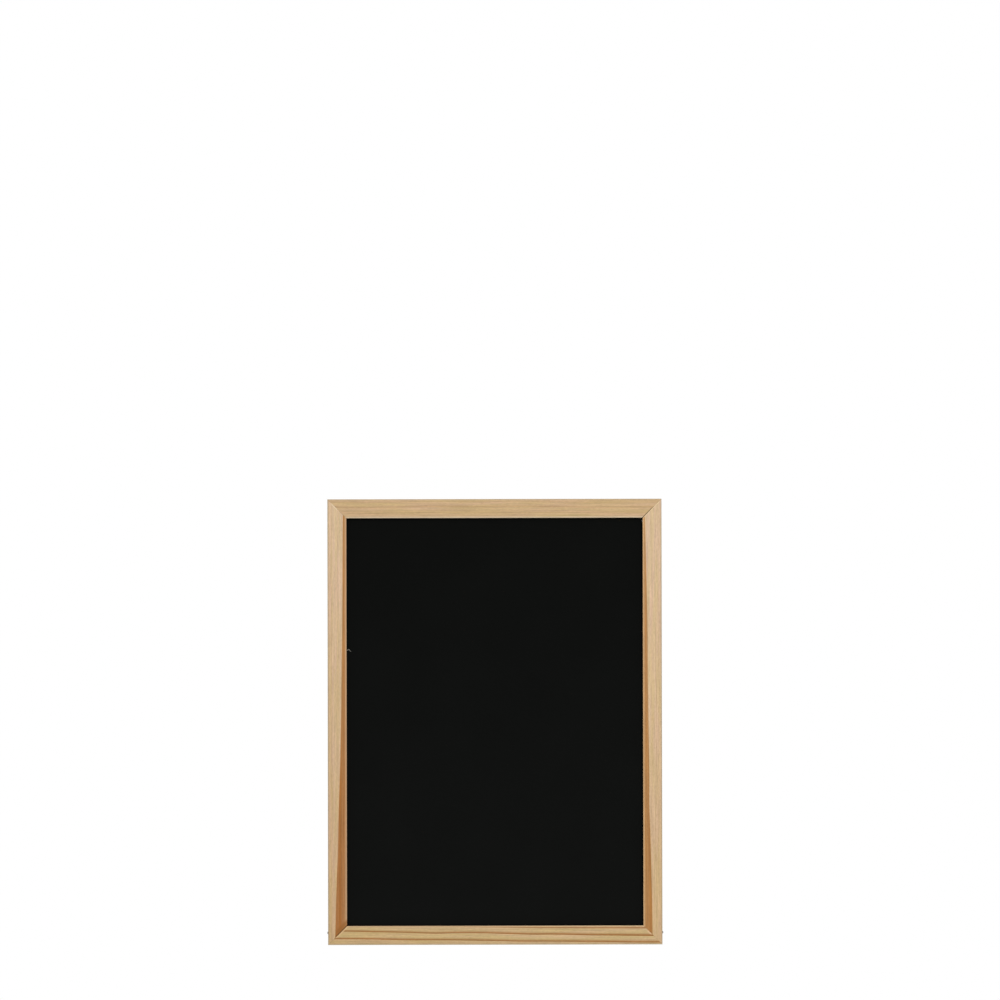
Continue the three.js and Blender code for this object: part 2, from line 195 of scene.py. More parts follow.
    fibre = add_node(tree, "ShaderNodeTexNoise", {
        "Vector": drawn["bundle"], "Scale": 1, "Detail": 5, "Roughness": 0.68})
    canal = add_node(tree, "ShaderNodeTexNoise", {
        "Vector": drawn["resin_canal"], "Scale": 1, "Detail": 0})
    fleck = add_node(tree, "ShaderNodeMapRange", {0: canal, 1: 0.72, 2: 0.79, 3: 0, 4: 0.35})
    patch = add_node(tree, "ShaderNodeTexNoise", {"Vector": drawn["patch"], "Scale": 1, "Detail": 3})
    warm = add_node(tree, "ShaderNodeMapRange", {0: patch, 1: 0.38, 2: 0.62})

    pale = add_node(tree, "ShaderNodeMix", {
        0: share, 6: linear(early[0]), 7: linear(early[1])}, data_type="RGBA")
    dark = add_node(tree, "ShaderNodeMix", {
        0: share, 6: linear(late[0]), 7: linear(late[1])}, data_type="RGBA")
    pink = add_node(tree, "ShaderNodeVectorMath", {
        0: pale.outputs[2], 1: (1.02, 0.985, 1.04)}, operation="MULTIPLY")
    gold = add_node(tree, "ShaderNodeVectorMath", {
        0: pale.outputs[2], 1: (0.99, 1, 0.9)}, operation="MULTIPLY")
    tinted = add_node(tree, "ShaderNodeMix", {0: warm, 6: gold, 7: pink}, data_type="RGBA")
    red = add_node(tree, "ShaderNodeVectorMath", {
        0: dark.outputs[2], 1: (0.95, 0.92, 0.95)}, operation="MULTIPLY")
    amber = add_node(tree, "ShaderNodeVectorMath", {
        0: dark.outputs[2], 1: (1.08, 1.04, 0.88)}, operation="MULTIPLY")
    resin = add_node(tree, "ShaderNodeMix", {0: warm, 6: red, 7: amber}, data_type="RGBA")
    ringed = add_node(tree, "ShaderNodeMix", {
        0: late_wood, 6: tinted.outputs[2], 7: resin.outputs[2]}, data_type="RGBA")
    flecked = add_node(tree, "ShaderNodeMix", {
        0: fleck, 6: ringed.outputs[2], 7: dark.outputs[2]}, data_type="RGBA")
    speck = add_node(tree, "ShaderNodeTexNoise", {
        "Vector": drawn["cell"], "Scale": 1, "Detail": 2, "Roughness": 0.6})
    grain = add_node(tree, "ShaderNodeMath", {0: speck, 1: 0.5, 2: fibre}, operation="MULTIPLY_ADD")
    streak = add_node(tree, "ShaderNodeMapRange", {0: grain, 1: 0.5, 2: 1, 3: 0.81, 4: 1.19})
    streaked = add_node(tree, "ShaderNodeVectorMath", {
        0: flecked.outputs[2], 3: streak}, operation="SCALE")

    # Painted shade greys the outer front edge and painted light pales the bottom rail's; a painted highlight
    # lightens the inner edge
    section = add_node(tree, "ShaderNodeCombineXYZ", {1: behind, 2: across})
    from_outer = add_node(tree, "ShaderNodeVectorMath", {
        0: section, 1: (0, -depth, 0)}, operation="DISTANCE")
    painted_rim_share = add_node(tree, "ShaderNodeMapRange", {
        0: from_outer.outputs["Value"], 1: 0.3, 2: 1.5, 3: 0.5, 4: 0}, interpolation_type="SMOOTHSTEP")
    painted_rim = add_node(tree, "ShaderNodeMix", {
        0: painted_rim_share, 6: streaked, 7: linear(rail["rim"])}, data_type="RGBA")
    from_inner = add_node(tree, "ShaderNodeVectorMath", {
        0: section, 1: (0, -depth, width)}, operation="DISTANCE")
    lip_highlight_share = add_node(tree, "ShaderNodeMapRange", {
        0: from_inner.outputs["Value"], 1: 0.6, 2: 1.7, 3: 0.7, 4: 0}, interpolation_type="SMOOTHSTEP")
    colour = add_node(tree, "ShaderNodeMix", {
        0: lip_highlight_share, 6: painted_rim.outputs[2], 7: linear(rail["lip_highlight"])}, data_type="RGBA")
    at_front = add_node(tree, "ShaderNodeMapRange", {0: behind, 1: 1 - depth, 2: 2 - depth, 3: 0.8, 4: 0})
    # Painted light at the mitres: the pale marks are painted highlights on a mitre's edge, the dark ones
    # painted shade in its opening.
    for end, nearest, farthest, spread, tint in rail["mitre_light_and_shade"]:
        square = add_node(tree, "ShaderNodeMath", {0: along, 1: -end, 2: half}, operation="MULTIPLY_ADD")
        from_mitre = add_node(tree, "ShaderNodeMath", {0: square, 1: across}, operation="SUBTRACT")
        mitre_light_and_shade_share = add_node(tree, "ShaderNodeMapRange", {
            0: from_mitre, 1: spread / 2, 2: spread, 3: 1, 4: 0}, interpolation_type="SMOOTHSTEP")
        for limit, turn in ((nearest, 1), (farthest, -1)):
            inside = add_node(tree, "ShaderNodeMapRange", {
                0: across, 1: limit - turn * 0.8, 2: limit + turn * 0.8})
            mitre_light_and_shade_share = add_node(tree, "ShaderNodeMath", {0: mitre_light_and_shade_share, 1: inside}, operation="MULTIPLY")
        mitre_light_and_shade_share = add_node(tree, "ShaderNodeMath", {0: mitre_light_and_shade_share, 1: at_front}, operation="MULTIPLY")
        colour = add_node(tree, "ShaderNodeMix", {
            0: mitre_light_and_shade_share, 6: colour.outputs[2], 7: linear(tint)}, data_type="RGBA")

    matt = add_node(tree, "ShaderNodeMapRange", {0: fibre, 1: 0.3, 2: 0.7, 3: 0.5, 4: 0.62})
    relief = add_node(tree, "ShaderNodeMath", {0: late_wood, 1: 0.6, 2: fibre}, operation="MULTIPLY_ADD")
    bump = add_node(tree, "ShaderNodeBump", {"Height": relief, "Distance": 0.03 * MM, "Strength": 0.7})
    shader = add_node(tree, "ShaderNodeBsdfPrincipled", {
        "Base Color": colour.outputs[2], "Roughness": matt, "Specular IOR Level": 0.25, "Normal": bump})
    add_node(tree, "ShaderNodeOutputMaterial", {"Surface": shader})
    return material


def arc(centre, radius, start, sweep, steps):
    """Points round an arc, both ends included."""
    turns = [start + sweep * i / steps for i in range(steps + 1)]
    return [Vector((centre[0] + radius * math.cos(t), centre[1] + radius * math.sin(t))) for t in turns]


def new_piece(name, vertices, faces, material):
    """A mesh object that looks smooth, apart from the edges that turn by more than a crease does."""
    mesh = bpy.data.meshes.new(name)
    mesh.from_pydata([tuple(v) for v in vertices], [], faces)
    shape = bmesh.new()
    shape.from_mesh(mesh)
    bmesh.ops.recalc_face_normals(shape, faces=shape.faces)
    shape.to_mesh(mesh)
    shape.free()
    mesh.shade_smooth()
    mesh.set_sharp_from_angle(angle=CREASE)
    mesh.materials.append(material)
    piece = bpy.data.objects.new(name, mesh)
    bpy.context.scene.collection.objects.link(piece)
    return piece


def keep_modifiers(piece):
    """Turns the piece's mesh into what its modifiers make of it."""
    bpy.context.view_layer.update()
    shaped = piece.evaluated_get(bpy.context.evaluated_depsgraph_get())
    mesh = bpy.data.meshes.new_from_object(shaped)
    piece.modifiers.clear()
    piece.data = mesh


def carve(piece, cutters):
    """Cuts the cutters out of the piece, and clears them away."""
    tray = bpy.data.collections.new("cutters")
    bpy.context.scene.collection.children.link(tray)
    for cutter in cutters:
        tray.objects.link(cutter)
    cut = piece.modifiers.new("cut", "BOOLEAN")
    cut.operation = "DIFFERENCE"
    cut.solver = "EXACT"
    cut.operand_type = "COLLECTION"
    cut.collection = tray
    keep_modifiers(piece)
    for cutter in cutters:
        bpy.data.objects.remove(cutter)
    bpy.data.collections.remove(tray)


def lathe(profile, segments):
    """Vertices and faces of a piece turned about Y. Its points (radius, y) start and end on the axis."""
    rim = profile[1:-1]
    vertices = [Vector((0, profile[0][1], 0)), Vector((0, profile[-1][1], 0))]
    faces = []
    for i in range(segments):
        turn = 2 * math.pi * i / segments
        vertices += [Vector((r * math.cos(turn), y, r * math.sin(turn))) for r, y in rim]
        here = 2 + i * len(rim)
        there = 2 + (i + 1) % segments * len(rim)
        faces += [(0, here, there), (1, there + len(rim) - 1, here + len(rim) - 1)]
        faces += [(here + j, here + j + 1, there + j + 1, there + j) for j in range(len(rim) - 1)]
    return vertices, faces


def pointed_bore(place, radius, length, point):
    """A cutter for the hole that a pin or screw goes down, along its place's -y."""
    radius += BORE_FIT
    vertices, faces = lathe([(0, -length), (radius, point - length), (radius, PAST), (0, PAST)], 32)
    return new_piece("bore", [place @ v for v in vertices], faces, None)


def v_nail_slot(node):
    """A cutter for the slot that a V-nail sits in, which is open to the back of the frame."""
    shape = bmesh.new()
    shape.from_mesh(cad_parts[node].data)
    bmesh.ops.remove_doubles(shape, verts=shape.verts, dist=0.001 * MM)
    bmesh.ops.recalc_face_normals(shape, faces=shape.faces)
    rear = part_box(node)[1].y
    moves = [v.normal * v.calc_shell_factor() * V_NAIL_FIT for v in shape.verts]
    for vertex, move in zip(shape.verts, moves):
        at_rear = vertex.co.y > rear - V_NAIL_FIT
        vertex.co += move
        if at_rear:
            vertex.co.y = back + PAST
    mesh = bpy.data.meshes.new("slot")
    shape.to_mesh(mesh)
    shape.free()
    cutter = bpy.data.objects.new("slot", mesh)
    bpy.context.scene.collection.objects.link(cutter)
    return cutter


def rail_section():
    """The rail's section as pairs: a point (across from the outer edge, depth from the back), and the way in
    from it that sanding can take."""
    front, floor = -rail_depth, rail_width - GROOVE_DEPTH
    f, b, g = FRONT_EDGE_RADIUS, BACK_EDGE_RADIUS, LIP_EDGE_RADIUS
    points = []
    for centre, radius, start, steps in (
        ((f, front + f), f, 2 * QUARTER, 7),
        ((rail_width - f, front + f), f, 3 * QUARTER, 7),
        ((rail_width - g, groove_front - g), g, 0, 2),
        ((floor, groove_front), 0, 0, 0),
        ((floor, groove_back), 0, 0, 0),
        ((rail_width - g, groove_back + g), g, 3 * QUARTER, 2),
        ((rail_width - b, -b), b, 0, 5),
        ((b, -b), b, QUARTER, 5),
    ):
        rounded = arc(centre, radius, start, QUARTER, steps) if steps else [Vector(centre)]
        for i, at in enumerate(rounded):
            share = math.sin(math.pi * i / steps) if steps > 2 else 0
            points.append((at, share * (Vector(centre) - at).normalized()))
    section = []
    for (at, way_in), (after, _) in zip(points, points[1:] + points[:1]):
        steps = max(1, round((after - at).length / FLAT_STEP))
        section.append((at, way_in))
        section += [(at.lerp(after, i / steps), Vector((0, 0))) for i in range(1, steps)]
    return section


def mitre_reach(node, place):
    """How far a rail reaches along at its outer and inner edge, towards each end, with the mitres closed a
    little."""
    local = [place.inverted() @ v.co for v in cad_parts[node].data.vertices]
    reach = {}
    for end in (-1, 1):
        outer = max(end * v.x for v in local if v.z < 0.01 * MM)
        inner = max(end * v.x for v in local if v.z > rail_width - 0.01 * MM)
        reach[end] = (outer + MITRE_TAKEN_UP, inner + MITRE_TAKEN_UP)
    return reach


def make_rail(node, place, reach, dents, material, seed):
    """The rail as sections set side by side along it, with the dents pressed in."""
    section = rail_section()
    stations = round(2 * reach[1][0] / STATION)
    vertices = []
    for i in range(stations + 1):
        for at, way_in in section:
            patch = Vector((i * STATION, at.x, at.y)) / SANDING_PATCH
            wobble = 0.5 + noise.noise(patch + Vector((0, 0, seed * 10)))
            worn = at + way_in * SANDING_WOBBLE * wobble
            inset = worn.x / rail_width
            start, end = (s * (reach[s][0] + (reach[s][1] - reach[s][0]) * inset) for s in (-1, 1))
            spot = Vector((start + (end - start) * i / stations, worn.y, worn.x))
            for dent_at, way, radius, depth in dents:
                share = (spot - Vector(dent_at)).length / radius
                if share < 1:
                    spot += Vector(way) * depth * (1 - share * share) ** 2
            vertices.append(place @ spot)
    count = len(section)
    faces = [range(count), range(stations * count, (stations + 1) * count)]
    for i in range(stations):
        for j in range(count):
            here, there = i * count + j, i * count + (j + 1) % count
            faces.append((here, here + count, there + count, there))
    return new_piece(f"pine_{node}", vertices, faces, material)


fasteners = {}
for side, sign in (("left", -1), ("right", 1)):
    pin_low, pin_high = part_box(f"corner_pin_{side}")
    head_at = (sign * right, (pin_low.y + pin_high.y) / 2, (pin_low.z + pin_high.z) / 2)
    pin_place = Matrix.Translation(head_at) @ Matrix.Rotation(-sign * QUARTER, 4, "Z")
    fasteners[f"pin_{side}"] = (pin_place, PIN_RADIUS, PIN_LENGTH, PIN_POINT)
    screw_low, screw_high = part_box(f"hanger_screw_{side}")
    screw_x, screw_z = (screw_low.x + screw_high.x) / 2, (screw_low.z + screw_high.z) / 2
    screw_place = Matrix.Translation((screw_x, screw_low.y + SCREW_LENGTH, screw_z))
    fasteners[f"screw_{side}"] = (screw_place, SCREW_RADIUS, SCREW_LENGTH, SCREW_POINT)

# Along runs from a rail's start to its end: rightwards, upwards, leftwards and downwards round the frame
# Each rail's rim colour is painted shade on the outer front edge (painted light on the bottom rail's), and
# its lip colour a painted highlight on the inner edge.
RAILS = {
    "bottom_rail": {
        "corner": (0, bottom), "turn": 0, "length": right - left,
        "corners": ("bottom_left", "bottom_right"), "bored_by": ("pin_left", "pin_right"), "dents": (),
        "early": ("D1B484", "D5B98A"), "late": ("9A5F24", "9C6122"), "rim": "D8CDB2", "lip_highlight": "D5B38B",
        "bands": (
            {"route": ((-150, 16.6), (-60, 16.2), (0, 15.4), (50, 14.8), (100, 14.5), (150, 14.4)),
             "sway": 0.15, "sharp": 0.4, "holds": 0, "gone": (0.1, 2.9)},
            {"route": ((-150, 12.2), (-128, 12.05), (-108, 11.5), (-81, 10.9), (-55, 10.05), (-34, 10.4),
                       (-8, 10.2), (12, 9.6), (30, 9), (58, 8.9), (78, 8.45), (104, 8.05), (134, 7.65),
                       (150, 7.5)),
             "sway": 0.15, "sharp": 0.4, "holds": 0, "gone": (2.2, 3.6)},
            {"route": ((-150, 5.2), (-116, 5.15), (-96, 4.65), (-75, 4.25), (-48, 4.1), (-20, 3.75),
                       (6, 3.25), (22, 2.75), (48, 2.75), (82, 2.45), (104, 2.15), (126, 1.7), (150, 1.6)),
             "sway": 0.15, "sharp": 0.4, "holds": 0, "gone": (2.5, 3.2)},
        ),
        "rings": {"spacing": 2.4, "strength": 0.22, "lean": 0.5},
        "thread": {"across": 13.2, "width": 0.8, "strength": 0.15},
        "mitre_light_and_shade": ((-1, 6.5, 17, 2.2, "E6C08C"), (1, 9.2, 12.5, 2.4, "EBC49A")),
    },
    "right_stile": {
        "corner": (right, middle), "turn": -1, "length": top - bottom,
        "corners": ("bottom_right", "top_right"), "bored_by": ("pin_right", "screw_right"), "dents": (),
        "early": ("D8B98E", "DBBF9E"), "late": ("AE7940", "B4814A"), "rim": "B0A48A", "lip_highlight": "F0C794",
        "bands": (
            {"route": ((-200, 8.7), (-142, 9.7), (-97, 10.7), (-75, 11.5), (-52, 11.5), (-7, 12.1),
                       (38, 12.6), (90, 12.9), (127, 13.7), (150, 14.2), (180, 14.8), (200, 16)),
             "sway": 0.2, "sharp": 0.5, "holds": 4, "gone": (19, 19)},
        ),
        "rings": {"spacing": 2, "strength": 0.16, "lean": 0.5},
        "thread": {"across": 5.4, "width": 0.8, "strength": 0.15},
        "mitre_light_and_shade": ((1, 2, 16.5, 1.3, "EDD3A4"),),
    },
    "top_rail": {
        "corner": (0, top), "turn": 2, "length": right - left,
        "corners": ("top_right", "top_left"), "bored_by": (), "dents": (),
        "early": ("CCAE85", "CCAE85"), "late": ("A97C4C", "AA7E4E"), "rim": "B0A48A", "lip_highlight": "F8E6C6",
        "bands": (),
        "rings": {"spacing": 1.6, "strength": 0.3, "lean": 0.25},
        "thread": {"across": 6.8, "width": 0.7, "strength": 0.4},
        "mitre_light_and_shade": ((-1, 8, 17.5, 0.9, "3E2A10"),),
    },
    "left_stile": {
        "corner": (left, middle), "turn": 1, "length": top - bottom,
        "corners": ("top_left", "bottom_left"), "bored_by": ("pin_left", "screw_left"),
        "dents": (((-58 * MM, -12.6 * MM, 0.1 * MM), (0, 0.4, 1), 1.7 * MM, 0.45 * MM),),
        "early": ("DBBF9D", "D3B389"), "late": ("B27E44", "A3672F"), "rim": "B0A48A", "lip_highlight": "DCB892",
        "bands": (
            {"route": ((-200, 14), (-118, 13.4), (-68, 12.8), (30, 11.3), (75, 9.8), (120, 8.7),
                       (142, 7.8), (182, 6.8), (200, 6.3)),
             "sway": 0.2, "sharp": 0.5, "holds": 4, "gone": (19, 19)},
        ),
        "rings": {"spacing": 2, "strength": 0.16, "lean": 0.5},
        "thread": {"across": 3.4, "width": 0.8, "strength": 0.15},
        "mitre_light_and_shade": (
            (-1, 3.5, 9, 1.3, "F2DEBC"), (1, 7, 17.5, 8, "9D652D"), (1, 7, 17.5, 1.5, "684014")),
    },
}
ends = {}
for seed, (node, rail) in enumerate(RAILS.items(), 1):
    x, z = rail["corner"]
    place = Matrix.Translation((x, back, z)) @ Matrix.Rotation(rail["turn"] * QUARTER, 4, "Y")
    reach = mitre_reach(node, place)
    for end, corner in zip((-1, 1), rail["corners"]):
        ends[corner, end] = (place, end, reach[end])
    pine = planed_pine(f"matt_lacquered_pine_{node}", place, rail, seed)
    piece = make_rail(node, place, reach, rail["dents"], pine, seed)
    cutters = []
    for corner in rail["corners"]:
        cutters += [v_nail_slot(f"v_nail_{corner}_{which}") for which in ("outer", "inner")]
    cutters += [pointed_bore(*fasteners[name]) for name in rail["bored_by"]]
    carve(piece, cutters)
    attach(piece, "board")
    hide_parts(node)

# Glue lines: the film of wood glue that closes each mitre, coloured near black as painted shade where the
# mitre has opened. It was wiped from the front while wet and stops a little short of it.
GLUE_SOAK = 0.02 * MM
GLUE_SHORT_OF_OUTSIDE = 0.7 * MM
GLUE_SHORT_OF_FRONT = 2 * MM
GLUE_SHORT_OF_LIP = 0.3 * MM
GLUE_LUMP = 0.8 * MM
glue_painted_dark = new_material("wood_glue_painted_shade")
tree = glue_painted_dark.node_tree
here = add_node(tree, "ShaderNodeTexCoord")
lumps = add_node(tree, "ShaderNodeTexNoise", {
    "Vector": here.outputs["Object"], "Scale": 1 / GLUE_LUMP, "Detail": 3})
# Painted shade: both browns are near black, for the shade inside the opened mitres.
tone = add_node(tree, "ShaderNodeMix", {
    0: lumps, 6: linear("1E140C"), 7: linear("4A3522")}, data_type="RGBA")
bump = add_node(tree, "ShaderNodeBump", {"Height": lumps, "Distance": 0.05 * MM, "Strength": 0.7})
rough = add_node(tree, "ShaderNodeMapRange", {0: lumps, 1: 0.3, 2: 0.7, 3: 0.6, 4: 0.8})
shader = add_node(tree, "ShaderNodeBsdfPrincipled", {
    "Base Color": tone.outputs[2], "Roughness": rough, "Specular IOR Level": 0.3, "Normal": bump})
add_node(tree, "ShaderNodeOutputMaterial", {"Surface": shader})
floor_of_groove = rail_width - GROOVE_DEPTH - GLUE_SHORT_OF_OUTSIDE
lip_front = GLUE_SHORT_OF_FRONT - rail_depth
film = (
    (GLUE_SHORT_OF_OUTSIDE, -GLUE_SHORT_OF_OUTSIDE), (floor_of_groove, -GLUE_SHORT_OF_OUTSIDE),
    (floor_of_groove, groove_front - PANEL_PLAY),
    (rail_width - GLUE_SHORT_OF_LIP, groove_front - PANEL_PLAY),
    (rail_width - GLUE_SHORT_OF_LIP, lip_front), (GLUE_SHORT_OF_OUTSIDE, lip_front))
for corner in ("bottom_right", "top_right", "top_left", "bottom_left"):
    vertices = []
    for end in (1, -1):
        place, way, (outer, inner) = ends[corner, end]
        for across, depth in film:
            along = outer + (inner - outer) * across / rail_width - GLUE_SOAK
            vertices.append(place @ Vector((way * along, depth, across)))
    count = len(film)
    faces = [range(count), range(count, 2 * count)]
    faces += [(j, (j + 1) % count, (j + 1) % count + count, j + count) for j in range(count)]
    joint = new_piece(f"glue_line_{corner}", vertices, faces, glue_painted_dark)
    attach(joint, "board")

# Torn fibres: two hairs of pine that the plane has lifted from the stiles' inner edges. They show a pale
# grey.
# Each has a side, a thickness and a route of points: how far over the writing surface, then Y and Z, in
# millimetres.
FIBRES = {
    "left": (-1, 0.34 * MM, (
        (-0.5, -15.4, -76.4), (0.2, -15.8, -75.9), (1.1, -16, -75.2), (1.9, -16, -74.9),
        (2.6, -16, -75.2), (3.2, -15.9, -76), (3.7, -15.8, -76.9))),
    "right": (1, 0.3 * MM, (
        (-0.5, -15.5, 38.6), (0.1, -15.9, 39.4), (0.5, -16, 40.3), (0.5, -16, 41.3))),
}
FIBRE_SIDES = 8
FRAY = 0.3 * MM
hair = new_material("lifted_pine_fibre")
tree = hair.node_tree
here = add_node(tree, "ShaderNodeTexCoord")
frayed = add_node(tree, "ShaderNodeTexNoise", {
    "Vector": here.outputs["Object"], "Scale": 1 / FRAY, "Detail": 3})
tone = add_node(tree, "ShaderNodeMix", {
    0: frayed, 6: linear("8E8B84"), 7: linear("C9C4BA")}, data_type="RGBA")
bump = add_node(tree, "ShaderNodeBump", {"Height": frayed, "Distance": 0.03 * MM, "Strength": 0.7})
rough = add_node(tree, "ShaderNodeMapRange", {0: frayed, 1: 0.3, 2: 0.7, 3: 0.6, 4: 0.8})
shader = add_node(tree, "ShaderNodeBsdfPrincipled", {
    "Base Color": tone.outputs[2], "Roughness": rough, "Specular IOR Level": 0.3, "Normal": bump})
add_node(tree, "ShaderNodeOutputMaterial", {"Surface": shader})
for side, (sign, thickness, route) in FIBRES.items():
    route = [Vector((sign * (right - rail_width - over * MM), y * MM, z * MM)) for over, y, z in route]
    vertices = []
    for i, at in enumerate(route):
        ahead = (route[min(i + 1, len(route) - 1)] - route[max(i - 1, 0)]).normalized()
        across = ahead.cross(Vector((0, 1, 0))).normalized()
        radius = thickness / 2 * (0.3 + 0.7 * math.sin(math.pi * i / (len(route) - 1)))
        for j in range(FIBRE_SIDES):
            turn = 2 * math.pi * j / FIBRE_SIDES
            outwards = across * math.cos(turn) + ahead.cross(across) * math.sin(turn)
            vertices.append(at + radius * outwards)
    faces = [range(FIBRE_SIDES), range(len(vertices) - FIBRE_SIDES, len(vertices))]
    for i in range(len(route) - 1):
        for j in range(FIBRE_SIDES):
            here, there = i * FIBRE_SIDES + j, i * FIBRE_SIDES + (j + 1) % FIBRE_SIDES
            faces.append((here, here + FIBRE_SIDES, there + FIBRE_SIDES, there))
    fibre = new_piece(f"torn_fibre_{side}", vertices, faces, hair)
    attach(fibre, "board")

# V-nails: two strips of bright-drawn steel, rolled to a V with hooked ends and pressed into the back of each
# mitre until they lie just below the wood. Drawing leaves the steel grey with a dull shine.
GRIME = 0.6 * MM
dull_steel = new_material("bright_drawn_steel")
tree = dull_steel.node_tree
here = add_node(tree, "ShaderNodeTexCoord")
grime = add_node(tree, "ShaderNodeTexNoise", {
    "Vector": here.outputs["Object"], "Scale": 1 / GRIME, "Detail": 3, "Roughness": 0.6})
tone = add_node(tree, "ShaderNodeMix", {
    0: grime, 6: linear("5E6064"), 7: linear("85878B")}, data_type="RGBA")
wear = add_node(tree, "ShaderNodeMapRange", {0: grime, 1: 0.3, 2: 0.7, 3: 0.34, 4: 0.5})
pits = add_node(tree, "ShaderNodeBump", {"Height": grime, "Distance": 0.01 * MM, "Strength": 0.5})
shader = add_node(tree, "ShaderNodeBsdfPrincipled", {
    "Base Color": tone.outputs[2], "Metallic": 1, "Roughness": wear, "Normal": pits})
add_node(tree, "ShaderNodeOutputMaterial", {"Surface": shader})
for name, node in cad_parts.items():
    if name.startswith("v_nail"):
        node.material_slots[0].material = dull_steel

# Writing surface: 0.4 mm steel sheet with a black chalk lacquer, which is matt with a fine tooth for the
# chalk, a little cloudy where a cloth has wiped it, a little lighter towards the bottom by a painted
# reflection, blacker along the frame by a painted shadow, and never quite flat.
SHEET_PITCH = 4.5 * MM
SHEET_SWELL = 0.03 * MM
SWELL_LENGTH = 70 * MM
CLOTH_CLOUD = 60 * MM
PAINTED_SHADOW_WIDTH = 1.6 * MM
# The real tooth is a few hundredths of a millimetre. That is too fine to show, so it is drawn coarser.
TOOTH = 0.9 * MM


def make_slab(name, low, high, pitch, front_swell, back_swell, material):
    """A panel between two corners, whose faces swell inwards in slow waves by up to the amounts given."""
    columns = round((high.x - low.x) / pitch)
    rows = round((high.z - low.z) / pitch)
    vertices, faces = [], []
    for y, swell, inwards in ((low.y, front_swell, 1), (high.y, back_swell, -1)):
        for i in range(columns + 1):
            for j in range(rows + 1):
                x = low.x + (high.x - low.x) * i / columns
                z = low.z + (high.z - low.z) * j / rows
                wave = 0.5 + 0.5 * noise.noise(Vector((x, y, z)) / SWELL_LENGTH)
                vertices.append((x, y + inwards * swell * wave, z))
    side = (columns + 1) * (rows + 1)
    for i in range(columns):
        for j in range(rows):
            near, far = i * (rows + 1) + j, (i + 1) * (rows + 1) + j
            quad = [near, far, far + 1, near + 1]
            faces += [quad, [v + side for v in reversed(quad)]]
    rim = [i * (rows + 1) for i in range(columns)] + [columns * (rows + 1) + j for j in range(rows)]
    rim += [i * (rows + 1) + rows for i in range(columns, 0, -1)] + list(range(rows, 0, -1))
    for here, there in zip(rim, rim[1:] + rim[:1]):
        faces.append((here, here + side, there + side, there))
    return new_piece(name, vertices, faces, material)


lacquer = new_material("black_chalk_lacquer")
tree = lacquer.node_tree
here = add_node(tree, "ShaderNodeTexCoord")
tooth = add_node(tree, "ShaderNodeTexNoise", {
    "Vector": here.outputs["Object"], "Scale": 1 / TOOTH, "Detail": 3, "Roughness": 0.7})
cloud = add_node(tree, "ShaderNodeTexNoise", {
    "Vector": here.outputs["Object"], "Scale": 1 / CLOTH_CLOUD, "Detail": 3, "Roughness": 0.55})
height = add_node(tree, "ShaderNodeSeparateXYZ", {0: here.outputs["Object"]})
# Painted reflection: the lacquer is made a little lighter towards the bottom, as if lit by the pale floor
# below.
painted_glow_below = add_node(tree, "ShaderNodeMapRange", {0: height.outputs["Z"], 1: top, 2: bottom})
haze = add_node(tree, "ShaderNodeMath", {0: cloud, 1: 0.6, 2: painted_glow_below}, operation="MULTIPLY_ADD")
haze = add_node(tree, "ShaderNodeMath", {0: tooth, 1: 0.8, 2: haze}, operation="MULTIPLY_ADD")
haze_and_glow = add_node(tree, "ShaderNodeMapRange", {0: haze, 1: 0.4, 2: 2})
haze_and_glow_colour = add_node(tree, "ShaderNodeMix", {
    0: haze_and_glow, 6: linear("030403"), 7: linear("0F100F")}, data_type="RGBA")
off_centre = add_node(tree, "ShaderNodeVectorMath", {
    0: here.outputs["Object"], 1: (0, 0, middle)}, operation="SUBTRACT")
off_centre = add_node(tree, "ShaderNodeVectorMath", {0: off_centre}, operation="ABSOLUTE")
opening = (right - rail_width, 0, top - rail_width - middle)
from_frame = add_node(tree, "ShaderNodeVectorMath", {0: opening, 1: off_centre}, operation="SUBTRACT")
from_frame = add_node(tree, "ShaderNodeSeparateXYZ", {0: from_frame})
from_frame = add_node(tree, "ShaderNodeMath", {
    0: from_frame.outputs["X"], 1: from_frame.outputs["Z"]}, operation="MINIMUM")
# Painted shadow: the lacquer turns black over the last 1.6 mm towards the frame, where the lip would shade
# it.
painted_edge_shadow = add_node(tree, "ShaderNodeMapRange", {
    0: from_frame, 1: 0.2 * MM, 2: PAINTED_SHADOW_WIDTH, 3: 1, 4: 0}, interpolation_type="SMOOTHSTEP")
black = add_node(tree, "ShaderNodeMix", {
    0: painted_edge_shadow, 6: haze_and_glow_colour.outputs[2], 7: (0, 0, 0, 1)}, data_type="RGBA")
dullness = add_node(tree, "ShaderNodeMapRange", {0: tooth, 1: 0.3, 2: 0.7, 3: 0.62, 4: 0.76})
grain = add_node(tree, "ShaderNodeBump", {"Height": tooth, "Distance": 0.02 * MM, "Strength": 0.6})
shader = add_node(tree, "ShaderNodeBsdfPrincipled", {
    "Base Color": black.outputs[2], "Roughness": dullness, "Specular IOR Level": 0.04, "Normal": grain})
add_node(tree, "ShaderNodeOutputMaterial", {"Surface": shader})

sheet = make_slab("lacquered_sheet", sheet_low, sheet_high, SHEET_PITCH, SHEET_SWELL, 0, lacquer)
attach(sheet, "board")
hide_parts("steel_sheet")

